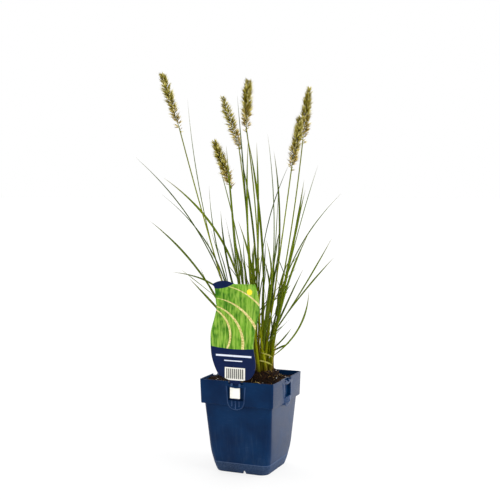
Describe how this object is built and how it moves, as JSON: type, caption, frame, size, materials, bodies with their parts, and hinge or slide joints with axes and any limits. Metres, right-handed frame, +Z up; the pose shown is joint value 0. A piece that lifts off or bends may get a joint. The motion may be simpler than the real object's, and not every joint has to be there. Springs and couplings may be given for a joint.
{
  "type": "potted ornamental grass",
  "caption": "Clump of flowering fountain grass with bristly seed heads on thin stalks, in a square tapered nursery pot with a plant label in its front pocket.",
  "frame": {"origin": "middle of the pot's base, on the lower face of its central foot pad, which lies in the plane that the pot stands on", "axes": "+Z up along the pot's axis, X and Y square to the pot's sides, the label's printed face towards -Y"},
  "size_m": [0.322, 0.222, 0.6241],
  "materials": {
    "pot_plastic": "moulded dark blue polypropylene, soft sheen, fine scuffs",
    "soil": "dark crumbly peat and bark medium with roots and pale grit",
    "label": "printed plastic plate, satin gloss",
    "flower_head": "dry bristly spikelets, olive to tan",
    "grass": "narrow ribbed leaves, satin green with paler edges and tips"
  },
  "bodies": {
    "root": {"pot": "pot_plastic", "soil": "soil", "label": "label", "head_1": "flower_head", "head_2": "flower_head", "head_3": "flower_head", "head_4": "flower_head", "head_5": "flower_head", "head_6": "flower_head", "stem_1": "grass", "stem_2": "grass", "stem_3": "grass", "stem_4": "grass", "stem_5": "grass", "stem_6": "grass", "stem_7": "grass", "stem_8": "grass", "stem_9": "grass", "stem_10": "grass", "stem_11": "grass", "stem_12": "grass", "stem_13": "grass", "stem_14": "grass", "stem_15": "grass", "stem_16": "grass", "stem_17": "grass", "stem_18": "grass", "stem_19": "grass", "stem_20": "grass", "stem_21": "grass", "stem_22": "grass", "stem_23": "grass", "stem_24": "grass", "stem_25": "grass", "stem_26": "grass", "stem_27": "grass", "stem_28": "grass", "stem_29": "grass", "stem_30": "grass", "stem_31": "grass"}
  },
  "joints": []
}
